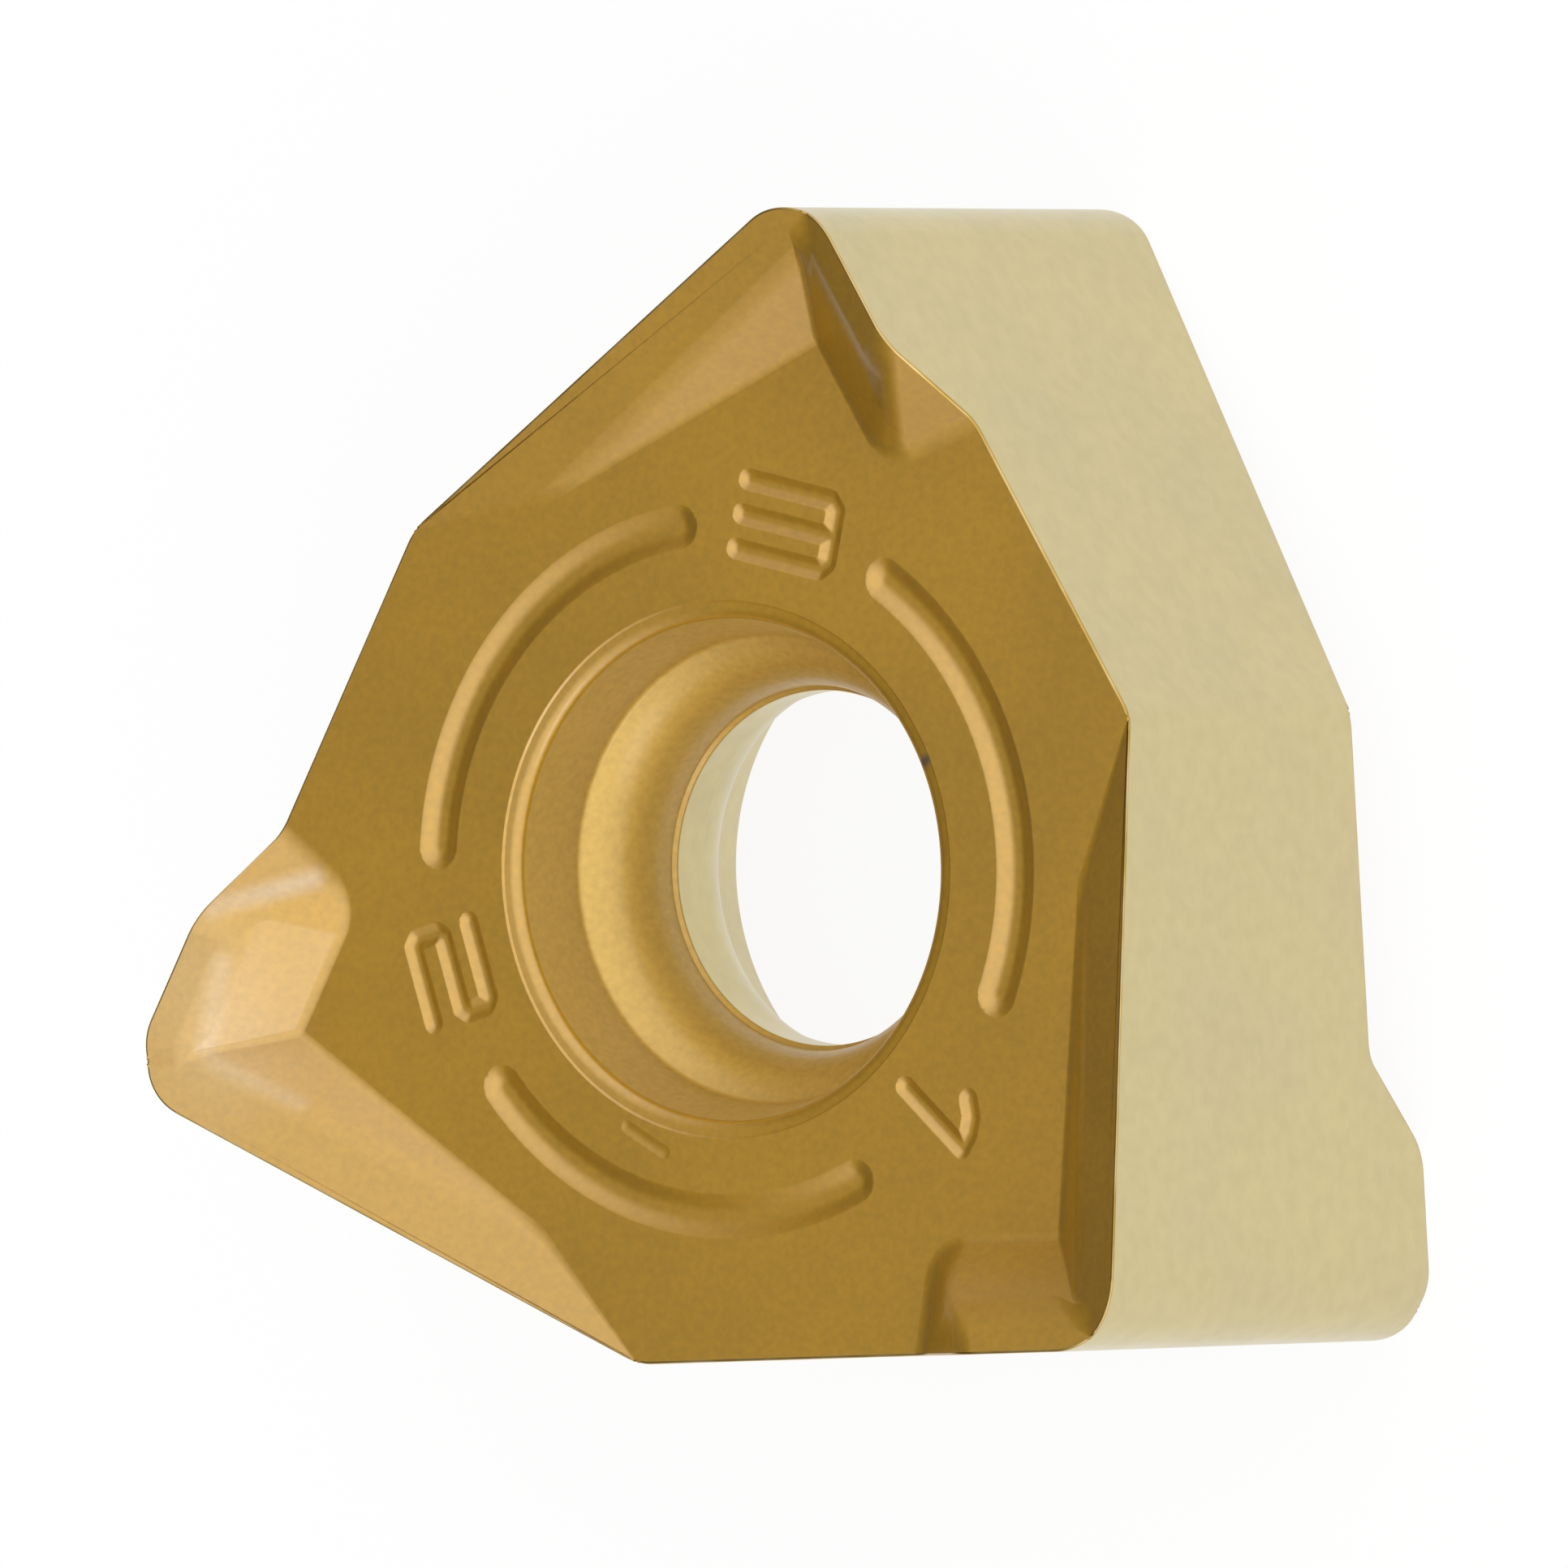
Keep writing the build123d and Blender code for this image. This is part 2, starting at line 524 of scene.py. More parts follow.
    def model_half(self, finishes: list[bpy.types.Material]) -> bpy.types.Object:
        """Model the upper half of the body: its flanks, and its rake face with soft creases.

        Args:
            finishes: The materials of the slots, in the order of Finish.

        Returns:
            The half, open at the middle plane.
        """
        half = self.outline.model()
        for finish in finishes:
            half.data.materials.append(finish)
        bpy.ops.mesh.select_all(action="SELECT")
        bpy.ops.mesh.extrude_region_move(TRANSFORM_OT_translate={"value": (0, 0, self.seat_height)})
        select_parts("FACE", lambda face: face.calc_center_median().z < 0.01)
        bpy.ops.mesh.delete(type="FACE")
        creases = self.creases()
        for crease in creases:
            select_parts("FACE", crease.cuts)
            point, across = crease.plane()
            bpy.ops.mesh.bisect(plane_co=point, plane_no=across, threshold=ON_CUT)
        shape = bmesh.from_edit_mesh(half.data)
        for vertex in shape.verts:
            if vertex.co.z > 0.01:
                vertex.co.z = self.height_at(vertex.co)
        bmesh.update_edit_mesh(half.data)
        face_outwards()
        bpy.ops.mesh.dissolve_limited(angle_limit=math.radians(0.2))
        self.soften(half, creases)
        self.hone()
        return half

    def soften(self, half: bpy.types.Object, creases: list[Crease]) -> None:
        """Round the creases, each to its own reach.

        Args:
            half: The half body, in edit mode.
            creases: The creases to round.
        """
        largest = max(crease.reach for crease in creases)
        shape = bmesh.from_edit_mesh(half.data)
        weight = shape.edges.layers.float.new("bevel_weight_edge")
        for edge in shape.edges:
            if all(abs(face.normal.z) > UPRIGHT for face in edge.link_faces):
                middle = (edge.verts[0].co + edge.verts[1].co) / 2
                reaches = [crease.reach for crease in creases if crease.passes(middle)]
                edge[weight] = max(reaches, default=0) / largest
        bmesh.update_edit_mesh(half.data)
        make_active(half)
        bevel = half.modifiers.new("soft_creases", "BEVEL")
        bevel.limit_method = "WEIGHT"
        bevel.width = largest
        bevel.segments = self.crease_segments
        bevel.use_clamp_overlap = False
        bpy.ops.object.modifier_apply(modifier=bevel.name)
        open_mesh(half)
        self.unfold(half)

    def unfold(self, half: bpy.types.Object) -> None:
        """Draw together the slivers that turned face down where wide roundings run out.

        Args:
            half: The half body, in edit mode.
        """
        shape = bmesh.from_edit_mesh(half.data)
        for _ in range(2 * self.crease_segments):
            shape.normal_update()
            folded = [face for face in shape.faces if face.normal.z < -UPRIGHT]
            if not folded:
                break
            shortest = dict.fromkeys(
                min(face.edges, key=lambda edge: edge.calc_length()) for face in folded)
            bmesh.ops.collapse(shape, edges=list(shortest))
        bmesh.update_edit_mesh(half.data)
        close_mesh()

    def hone(self) -> None:
        """Round the honed cutting edges all round the rake face."""
        open_mesh(bpy.context.object)
        select_parts("EDGE", lambda edge: sorted(
            abs(face.normal.z) < UPRIGHT for face in edge.link_faces) == [False, True])
        bpy.ops.mesh.bevel(offset=self.hone_width, segments=3, affect="EDGES", profile=0.5,
                           clamp_overlap=False, material=Finish.HONED.value)
        select_parts("FACE", lambda face: abs(face.normal.z) < UPRIGHT)
        bpy.context.object.active_material_index = Finish.FLANK.value
        bpy.ops.object.material_slot_assign()
        close_mesh()


@dataclass(frozen=True)
class ScrewHole:
    """The screw hole: a lip, a steep cone and a bulging head seat on each side of a narrow land."""

    seat_height: float = 2.625
    lip_radius: float = 3.48
    lip_step: float = 0.025
    chamfer_radius: float = 3.265
    chamfer_depth: float = 0.05
    cone_foot_radius: float = 3.03
    cone_foot_depth: float = 1.12
    throat_radius: float = 2.36
    throat_depth: float = 2.28
    land_radius: float = 2.3
    land_depth: float = 2.34
    bulge_steps: int = 12
    steps_round: int = 192
    cutter_margin: float = 0.8
    cutter_rise: float = 1.5
    lip_clearance: float = 0.004

    @property
    def foot_of_land(self) -> float:
        """Height of the upper edge of the narrow land in the middle of the hole."""
        return self.seat_height - self.land_depth

    def corners(self) -> list[tuple[float, float, float]]:
        """Lay out the wall's corners from the lip down.

        Returns:
            The radius, depth and rounding of each.
        """
        corners = [
            (self.lip_radius, 0.0, 0.01),
            (self.lip_radius - self.lip_step, self.lip_step, 0.01),
            (self.chamfer_radius, self.chamfer_depth, 0.17),
            (self.cone_foot_radius, self.cone_foot_depth, 0.15),
        ]
        run = self.cone_foot_radius - self.throat_radius
        drop = self.throat_depth - self.cone_foot_depth
        bulge = (run * run + drop * drop) / (2 * run)
        sweep = math.asin(drop / bulge)
        for step in range(1, self.bulge_steps):
            angle = sweep * (1 - step / self.bulge_steps)
            corners.append((self.throat_radius + bulge * (1 - math.cos(angle)),
                            self.throat_depth - bulge * math.sin(angle), 0))
        corners.append((self.throat_radius, self.throat_depth, 0.03))
        corners.append((self.land_radius, self.land_depth, 0.05))
        return corners

    def profile(self) -> list[tuple[float, float]]:
        """Trace the upper half of the wall, from above the lip down.

        Returns:
            Its radii and heights.
        """
        corners = self.corners()
        above = Vector((self.lip_radius + self.cutter_margin, 0))
        path = [above] + [Vector((radius, -depth)) for radius, depth, _ in corners]
        path.append(Vector((self.land_radius, -self.seat_height)))
        points = [Vector((above.x, self.cutter_rise)), Vector((above.x, self.lip_clearance))]
        for before, corner, after, (_, _, rounding) in zip(path, path[1:], path[2:], corners):
            points += rounded_corner(before, corner, after, rounding)
        points[2].y += self.lip_clearance / 2
        return [(point.x, point.y + self.seat_height) for point in points]

    def model_cutter(self) -> bpy.types.Object:
        """Model the space of the hole as a turned solid that stands out of both seats.

        Returns:
            The cutter.
        """
        upper = self.profile()
        profile = upper + [(radius, -height) for radius, height in reversed(upper)]
        deselect_everything()
        radius, height = profile[0]
        bpy.ops.mesh.primitive_circle_add(
            vertices=self.steps_round, radius=radius, location=(0, 0, height), fill_type="NGON",
            enter_editmode=True,
        )
        close_mesh()
        bpy.ops.object.transform_apply(location=True, rotation=True, scale=True)
        open_mesh(bpy.context.object)
        bpy.ops.mesh.select_all(action="SELECT")
        for next_radius, next_height in profile[1:]:
            bpy.ops.mesh.extrude_region_move(
                TRANSFORM_OT_translate={"value": (0, 0, next_height - height)}
            )
            grow = next_radius / radius
            bpy.ops.transform.resize(value=(grow, grow, 1), center_override=(0, 0, next_height))
            radius, height = next_radius, next_height
        face_outwards()
        close_mesh()
        return bpy.context.object


def rounded_corner(before: Vector, corner: Vector, after: Vector, radius: float) -> list[Vector]:
    """Round one corner of a path.

    Args:
        before: The path's point before the corner.
        corner: The corner.
        after: The path's point after it.
        radius: The radius to round it to.

    Returns:
        The points of the arc, or the corner itself for a radius of 0.
    """
    if not radius:
        return [corner.copy()]
    into = (corner - before).normalized()
    out = (after - corner).normalized()
    swing = math.atan2(into.x * out.y - into.y * out.x, into.dot(out))
    start = corner - into * radius * math.tan(abs(swing) / 2)
    steps = max(3, math.ceil(math.degrees(abs(swing)) / 8))
    points = []
    side = Vector((-into.y, into.x)) * math.copysign(radius, swing)
    for step in range(steps + 1):
        turned = Matrix.Rotation(swing * step / steps, 2) @ -side
        points.append(start + side + turned)
    return points


class Figure(Enum):
    """The plain figures pressed beside the corners, as strokes whose Y points outwards."""

    ONE = (((-0.34, 0.26), (-0.2, 0.45), (0.0, 0.56), (0.2, 0.6), (0.2, -0.56)),)
    TWO = (((-0.52, 0.455), (0.5, 0.455), (0.58, 0.38), (0.58, 0.05), (0.5, -0.025),
            (-0.46, -0.025), (-0.54, -0.1), (-0.54, -0.4), (-0.46, -0.47), (0.56, -0.47)),)
    THREE = (((-0.7, 0.51), (0.6, 0.51), (0.71, 0.4), (0.71, -0.29), (0.6, -0.4), (-0.7, -0.4)),
             ((-0.7, 0.055), (0.71, 0.055)))
    FOUR = (((0.3, -0.6), (0.3, 0.6), (-0.55, -0.2), (0.6, -0.2)),)
    FIVE = (((0.55, 0.46), (-0.5, 0.46), (-0.5, 0.02), (0.42, 0.02), (0.55, -0.1), (0.55, -0.34),
             (0.42, -0.46), (-0.55, -0.46)),)
    SIX = (((0.55, 0.46), (-0.4, 0.46), (-0.54, 0.34), (-0.54, -0.46), (0.42, -0.46), (0.55, -0.34),
            (0.55, -0.1), (0.42, 0.0), (-0.54, 0.0)),)


def distance_to_stroke(point: Vector, stroke: Stroke) -> float:
    """Measure how far a point in plan lies from a stroke's centre line.

    Args:
        point: The point.
        stroke: The points of the line, in order.

    Returns:
        The distance.
    """
    nearest = math.inf
    for start, end in zip(stroke, stroke[1:]):
        start, end = Vector(start), Vector(end)
        along = end - start
        share = min(1, max(0, (point - start).dot(along) / along.length_squared))
        nearest = min(nearest, (point - start - along * share).length)
    return nearest


@dataclass(frozen=True)
class PressedMark:
    """A mark that the die pressed in a seat: a soft-walled channel along a centre line."""

    floor_width: float
    mouth_width: float
    depth: float
    grain: float
    seat_height: float = 2.625
    clearance: float = 0.003
    lid_rise: float = 0.5

    def depth_at(self, distance: float) -> float:
        """Find how deep the channel is.

        Args:
            distance: The distance from its centre line.

        Returns:
            The depth, from the cutter's lid down.
        """
        share = (self.mouth_width / 2 - distance) / (self.mouth_width / 2 - self.floor_width / 2)
        share = min(1, max(0, share))
        return share * share * (3 - 2 * share) * (self.depth + self.clearance)

    def press(self, patch: bpy.types.Object, distance_at: Callable[[Vector], float]) -> None:
        """Press the mark in a patch that lies just above the seat, and close it into a cutter.

        Args:
            patch: A fine flat mesh that is wider than the mark, in edit mode.
            distance_at: A function of a point in plan that gives its distance to the centre line.
        """
        shape = bmesh.from_edit_mesh(patch.data)
        for vertex in shape.verts:
            depth = self.depth_at(distance_at(vertex.co.to_2d()))
            vertex.co.z = self.seat_height + self.clearance - depth
        bmesh.update_edit_mesh(patch.data)
        bpy.ops.mesh.select_all(action="SELECT")
        bpy.ops.mesh.extrude_region_move(TRANSFORM_OT_translate={"value": (0, 0, self.lid_rise)})
        face_outwards()
        close_mesh()


@dataclass(frozen=True)
class FigureMark(PressedMark):
    """A figure or a dent pressed outside the hole."""

    centre_radius: float = 4.49
    patch: tuple[float, float] = (2.0, 1.7)

    def model_cutter(self, strokes: tuple[Stroke, ...], angle: float) -> bpy.types.Object:
        """Model the mark's cutter.

        Args:
            strokes: The centre lines of its strokes.
            angle: Its direction from the axis, in degrees.

        Returns:
            The cutter, in its place on the upper side.
        """
        wide, high = self.patch
        deselect_everything()
        bpy.ops.mesh.primitive_grid_add(
            x_subdivisions=round(wide / self.grain), y_subdivisions=round(high / self.grain), size=1
        )
        cutter = turn(bpy.context.object, Matrix.Diagonal((wide, high, 1, 1)))
        open_mesh(cutter)
        self.press(cutter, lambda point: min(
            distance_to_stroke(point, stroke) for stroke in strokes))
        outwards = Matrix.Translation((0, self.centre_radius, 0))
        return turn(cutter, Matrix.Rotation(math.radians(angle - 90), 4, "Z") @ outwards)


@dataclass(frozen=True)
class GrooveMark(PressedMark):
    """A curved groove pressed between two figures."""

    centre_radius: float = 4.48
    span: float = 85.5
    middle: float = 30.0

    def model_cutter(self) -> bpy.types.Object:
        """Model the cutter of the groove at its middle direction.

        Returns:
            The cutter, in its place on the upper side.
        """
        margin = self.mouth_width / 2 + 2 * self.grain
        half_span = math.radians(self.span / 2) - self.mouth_width / 2 / self.centre_radius
        sweep = 2 * (half_span + margin / self.centre_radius)
        middle = math.radians(self.middle)
        rungs = round(2 * margin / self.grain)
        deselect_everything()
        bpy.ops.mesh.primitive_grid_add(x_subdivisions=rungs, y_subdivisions=1, size=1)
        across = Matrix.Diagonal((2 * margin, 1, 1, 1))
        outwards = Matrix.Translation((self.centre_radius, 0, 0))
        cutter = turn(bpy.context.object, outwards @ across)
        open_mesh(cutter)
        select_parts("VERT", lambda vertex: vertex.co.y > 0.1)
        bpy.ops.mesh.delete(type="VERT")
        bpy.ops.mesh.select_all(action="SELECT")
        shape = bmesh.from_edit_mesh(cutter.data)
        for vertex in shape.verts:
            vertex.co.y = 0
        bmesh.update_edit_mesh(cutter.data)
        bpy.ops.mesh.spin(steps=round(sweep * self.centre_radius / self.grain), angle=sweep,
                          center=(0, 0, 0), axis=(0, 0, 1))
        shape = bmesh.from_edit_mesh(cutter.data)
        start = min(math.atan2(vertex.co.y, vertex.co.x) for vertex in shape.verts)
        for vertex in shape.verts:
            vertex.co = Matrix.Rotation(middle - sweep / 2 - start, 3, "Z") @ vertex.co
        tips = [Vector((math.cos(middle + side * half_span), math.sin(middle + side * half_span)))
                * self.centre_radius for side in (-1, 1)]

        def distance_at(point: Vector) -> float:
            """Return the distance from a point in plan to the groove's centre line."""
            if abs(math.atan2(point.y, point.x) - middle) < half_span:
                return abs(point.length - self.centre_radius)
            return min((point - tip).length for tip in tips)

        self.press(cutter, distance_at)
        return cutter


class MillingInsert:
    """The whole insert, modelled in millimetres and scaled to metres at the end."""

    def __init__(self, finishes: list[bpy.types.Material]) -> None:
        """Settle the sizes of the parts of its form.

        Args:
            finishes: The materials of the slots, in the order of Finish.
        """
        self.finishes = finishes
        self.rake = RakeFace(TrigonOutline())
        self.hole = ScrewHole()
        self.figure = FigureMark(floor_width=0.06, mouth_width=0.33, depth=0.07, grain=0.024)
        self.groove = GrooveMark(floor_width=0.12, mouth_width=0.63, depth=0.1, grain=0.04)
        self.dent = FigureMark(floor_width=0.0, mouth_width=0.26, depth=0.013, grain=0.024,
                               centre_radius=3.711, patch=(1.0, 0.46))
        self.dent_stroke = ((-0.33, 0.058), (0.33, -0.058))
        self.dent_angle = -97.4
        self.gilded_wall_drop = 0.16
        self.turn_over = Matrix.Rotation(math.pi, 4, Vector((math.cos(math.radians(30)), 0.5, 0)))

    def model(self) -> bpy.types.Object:
        """Model the insert as one closed mesh.

        Returns:
            The finished piece.
        """
        upper = self.rake.model_half(self.finishes)
        lower = turn(duplicate(upper), self.turn_over)
        body = join([upper, lower])
        open_mesh(body)
        bpy.ops.mesh.select_all(action="SELECT")
        bpy.ops.mesh.remove_doubles(threshold=WELD)
        bpy.ops.mesh.dissolve_limited(angle_limit=math.radians(0.02), delimit={"MATERIAL"})
        face_outwards()
        close_mesh()
        log.info("body: %d faces", len(body.data.polygons))
        self.cut(body, self.dent.model_cutter((self.dent_stroke,), self.dent_angle))
        self.cut(body, join([self.hole.model_cutter()] + self.mark_cutters()))
        self.colour_bore_with_painted_lower_light(body)
        self.smooth(body)
        body.name = "milling_insert"
        shrink = MILLIMETRE * INSIDE
        return turn(body, Matrix.Diagonal((shrink, shrink, MILLIMETRE, 1)))

    def colour_bore_with_painted_lower_light(self, body: bpy.types.Object) -> None:
        """Give the wall of the hole its colours, paler below the land in its middle.

        The lower countersink's paler colour is painted light: both countersinks of the real insert
        have one coat.

        Args:
            body: The cut body.
        """
        lip, land = self.hole.lip_radius, self.hole.foot_of_land
        foot = self.hole.chamfer_depth - self.hole.seat_height
        top = self.hole.seat_height - self.gilded_wall_drop
        open_mesh(body)
        # The lower countersink takes the pale flank coat as painted light; the upper one takes the
        # hole's coat.
        for finish, low, high in ((Finish.FLANK, foot, land), (Finish.BORE, land, top)):
            select_parts("FACE", lambda face: face.calc_center_median().xy.length < lip
                         and low < face.calc_center_median().z < high)
            body.active_material_index = finish.value
            bpy.ops.object.material_slot_assign()
        close_mesh()

    def smooth(self, body: bpy.types.Object) -> None:
        """Shade the roundings smoothly and keep the facets flat.

        Args:
            body: The cut body.
        """
        make_active(body)
        bpy.ops.object.shade_smooth_by_angle(angle=math.radians(50), keep_sharp_edges=True)
        weighted = body.modifiers.new("flat_facets", "WEIGHTED_NORMAL")
        weighted.mode = "FACE_AREA"
        weighted.weight = 90
        weighted.keep_sharp = True
        bpy.ops.object.modifier_apply(modifier=weighted.name)

    def mark_cutters(self) -> list[bpy.types.Object]:
        """Model the grooves and figures of both sides.

        Returns:
            Their cutters.
        """
        cutters = []
        sides = ((Matrix.Identity(4), (Figure.THREE, Figure.TWO, Figure.ONE)),
                 (self.turn_over, (Figure.SIX, Figure.FIVE, Figure.FOUR)))
        for place, figures in sides:
            for index, figure in enumerate(figures):
                figure_cutter = self.figure.model_cutter(figure.value, 90 + 120 * index)
                cutters.append(turn(figure_cutter, place))
                third = Matrix.Rotation(index * THIRD, 4, "Z")
                cutters.append(turn(self.groove.model_cutter(), place @ third))
        return cutters

    def cut(self, body: bpy.types.Object, cutter: bpy.types.Object) -> None:
        """Cut a solid out of the body and delete it.

        Args:
            body: The body.
            cutter: The solid to cut out.
        """
        make_active(body)
        boolean = body.modifiers.new("pressed", "BOOLEAN")
        boolean.operation = "DIFFERENCE"
        boolean.solver = "EXACT"
        boolean.object = cutter
        bpy.ops.object.modifier_apply(modifier=boolean.name)
        bpy.data.objects.remove(cutter)
        open_mesh(body)
        seal_seams(body)
        close_mesh()


# ---- finishes ---------------------------------------------------------------------------------


def linear(code: str) -> tuple[float, float, float, float]:
    """Turn an sRGB hex colour into the linear colour that shaders take.

    Args:
        code: The colour, such as "A07A2D".

    Returns:
        Its red, green, blue and alpha.
    """
    channels = [int(code[start:start + 2], 16) / 255 for start in (0, 2, 4)]
    return (*(c / 12.92 if c <= 0.04045 else ((c + 0.055) / 1.055) ** 2.4 for c in channels), 1.0)


def add_node(owner: bpy.types.Material | bpy.types.World, kind: str, settings: dict | None = None,
             links: dict | None = None) -> bpy.types.Node:
    """Add a node to a material or world with its settings and its incoming links.

    Args:
        owner: The material or world.
        kind: The node's type name.
        settings: Values by attribute name, or by input name or number.
        links: Output sockets by the input that each feeds.

    Returns:
        The new node.
    """
    node = owner.node_tree.nodes.new(kind)
    for name, value in (settings or {}).items():
        if isinstance(name, str) and hasattr(node, name):
            setattr(node, name, value)
        else:
            node.inputs[name].default_value = value
    for name, socket in (links or {}).items():
        owner.node_tree.links.new(socket, node.inputs[name])
    return node


def new_material(name: str) -> bpy.types.Material:
    """Start a node-based material.

    Args:
        name: Its name.

    Returns:
        The material, with no nodes.
    """
    material = bpy.data.materials.new(name)
    material.use_nodes = True
    material.node_tree.nodes.clear()
    return material


def per_metre(width: float) -> float:
    """Return the noise scale that gives patches of a real width in millimetres."""
    return 0.5 / (width * MILLIMETRE)


@dataclass(frozen=True)
class WearAndPaintedHighlightStreak:
    """A soft streak on one crest, in millimetres, painted into the coat's colour.

    The pale streaks on one corner's crests are both wear and painted highlight; the small dark
    one is a chip at the lip of the hole.
    """

    colour: str
    start: tuple[float, float, float]
    end: tuple[float, float, float]
    width: float
    strength: float

    def shade(self, coat: bpy.types.Material, place: bpy.types.NodeSocket) -> bpy.types.NodeSocket:
        """Shade how strongly each point takes the streak's colour, fading with its distance from
        it.

        Args:
            coat: The material.
            place: Its object coordinates.

        Returns:
            The strength, from 0 to 1.
        """
        start, end = Vector(self.start) * MILLIMETRE, Vector(self.end) * MILLIMETRE
        length, way = (end - start).length, (end - start).normalized()
        away = add_node(coat, "ShaderNodeVectorMath", {"operation": "SUBTRACT", 1: start},
                        {0: place}).outputs[0]
        along = add_node(coat, "ShaderNodeVectorMath", {"operation": "DOT_PRODUCT", 1: way},
                         {0: away}).outputs["Value"]
        kept = add_node(coat, "ShaderNodeMapRange", {"From Max": length, "To Max": length},
                        {"Value": along}).outputs[0]
        foot = add_node(coat, "ShaderNodeVectorMath", {"operation": "SCALE", 0: way},
                        {"Scale": kept}).outputs[0]
        gap = add_node(coat, "ShaderNodeVectorMath", {"operation": "DISTANCE"},
                       {0: away, 1: foot}).outputs["Value"]
        fading = {"interpolation_type": "SMOOTHSTEP", "From Min": 0.0,
                  "From Max": self.width * MILLIMETRE, "To Min": self.strength, "To Max": 0.0}
        return add_node(coat, "ShaderNodeMapRange", fading, {"Value": gap}).outputs[0]


@dataclass(frozen=True)
class BlastedGoldCoat:
    """Titanium nitride under a clear alumina skin, on a pressed face that is wet-blasted last.

    It gives the eye a satin bronze gold: metal, with a very fine even grain and faint cloudy
    patches, a smoother pale sheen over it, and a greyer bloom and pale streaks on the crests of
    one corner that are both wear and painted highlight, with a dark chip at the hole's lip.
    Widths and heights are in millimetres.
    """

    name: str = "blasted_titanium_nitride_coat"
    deep: str = "BC921C"
    bright: str = "C3981F"
    cloud: float = 1.6         # the patches that the blasting nozzle's passes leave
    cloud_detail: float = 3.0
    cloud_share: tuple[float, float] = (0.35, 0.65)    # where in the noise the colours end
    speck: float = 0.05
    speck_detail: float = 3.0
    speck_depth: float = 0.07
    grit: float = 0.07         # the real blasting dimples are 0.02 mm, too fine to show
    grit_height: float = 0.007
    grit_strength: float = 0.4
    roughness: float = 0.64
    duller: float = 0.03       # how much rougher the bright clouds are
    skin: float = 1.0          # how much of the clear alumina skin is left on top
    skin_roughness: float = 0.22
    skin_index: float = 1.8
    # Pale streaks on the crests of the corner at 210 degrees, both wear and painted highlight; the
    # last, dark one is a chip at the lip of the hole.
    wear_and_painted_highlights: tuple[WearAndPaintedHighlightStreak, ...] = (
        WearAndPaintedHighlightStreak("C9B184", (-7.2, -3.0, 3.6), (-6.7, -3.9, 3.5), 1.6, 0.3),
        WearAndPaintedHighlightStreak("D2BC9C", (-7.12, -2.12, 3.50), (-6.20, -1.48, 2.76), 0.28, 0.65),
        WearAndPaintedHighlightStreak("CDB48E", (-6.83, -2.75, 3.53), (-6.93, -3.85, 3.43), 0.26, 0.5),
        WearAndPaintedHighlightStreak("CDB48E", (-6.75, -4.05, 3.41), (-5.50, -4.31, 3.18), 0.22, 0.35),
        WearAndPaintedHighlightStreak("6E6557", (2.66, 1.98, 2.58), (2.72, 2.04, 2.60), 0.13, 0.9),
    )

    def material(self) -> bpy.types.Material:
        """Build the finish.

        Returns:
            The material.
        """
        coat = new_material(self.name)
        place = add_node(coat, "ShaderNodeTexCoord").outputs["Object"]
        clouds = add_node(
            coat, "ShaderNodeTexNoise",
            {"Scale": per_metre(self.cloud), "Detail": self.cloud_detail},
            {"Vector": place}).outputs[0]
        patches = add_node(coat, "ShaderNodeMapRange",
                           {1: self.cloud_share[0], 2: self.cloud_share[1]}, {0: clouds}).outputs[0]
        colours = {"data_type": "RGBA", 6: linear(self.deep), 7: linear(self.bright)}
        tone = add_node(coat, "ShaderNodeMix", colours, {0: patches}).outputs[2]
        # Paint the streaks over the tone: wear and painted highlight on the crests, and the chip at
        # the lip.
        for streak in self.wear_and_painted_highlights:
            tone = add_node(coat, "ShaderNodeMix", {"data_type": "RGBA", 7: linear(streak.colour)},
                            {0: streak.shade(coat, place), 6: tone}).outputs[2]
        dust = add_node(
            coat, "ShaderNodeTexNoise",
            {"Scale": per_metre(self.speck), "Detail": self.speck_detail},
            {"Vector": place}).outputs[0]
        specks = add_node(
            coat, "ShaderNodeMapRange",
            {1: 0.3, 2: 0.7, 3: 1 - self.speck_depth, 4: 1 + self.speck_depth},
            {0: dust}).outputs[0]
        tone = add_node(coat, "ShaderNodeVectorMath", {"operation": "SCALE"},
                        {0: tone, "Scale": specks}).outputs[0]
        dull = add_node(
            coat, "ShaderNodeMapRange",
            {1: 0.3, 2: 0.7, 3: self.roughness - 0.03, 4: self.roughness + self.duller},
            {0: clouds}).outputs[0]
        grain = add_node(coat, "ShaderNodeTexNoise", {"Scale": per_metre(self.grit), "Detail": 2.0},
                         {"Vector": place}).outputs[0]
        relief = {"Strength": self.grit_strength, "Distance": self.grit_height * MILLIMETRE}
        bump = add_node(coat, "ShaderNodeBump", relief, {"Height": grain}).outputs[0]
        shader = add_node(
            coat, "ShaderNodeBsdfPrincipled",
            {"Metallic": 1.0, "Coat Weight": self.skin, "Coat Roughness": self.skin_roughness,
             "Coat IOR": self.skin_index},
            {"Base Color": tone, "Normal": bump, "Roughness": dull},
        )
        add_node(coat, "ShaderNodeOutputMaterial", links={"Surface": shader.outputs[0]})
        return coat


@dataclass(frozen=True)
class GroundChampagneCoat(BlastedGoldCoat):
    """The same coat, thinner, on peripherally ground flanks.

    It gives the eye a pale champagne metal, smoother than the blasted faces, with faint greyish
    clouds and a few pale dust-fine specks.
    """

    name: str = "ground_champagne_nitride_coat"
    deep: str = "CFC08C"
    bright: str = "CCBE90"
    cloud: float = 1.1
    cloud_detail: float = 5.0
    cloud_share: tuple[float, float] = (0.45, 0.7)
    speck: float = 0.12
    speck_detail: float = 2.0
    speck_depth: float = 0.035
    grit: float = 0.05         # the grinding marks are finer than this, and too fine to show
    grit_height: float = 0.003
    grit_strength: float = 0.15
    roughness: float = 0.3
    duller: float = 0.05
    skin: float = 0.3
    skin_roughness: float = 0.25
    skin_index: float = 1.5
    wear_and_painted_highlights: tuple[WearAndPaintedHighlightStreak, ...] = ()


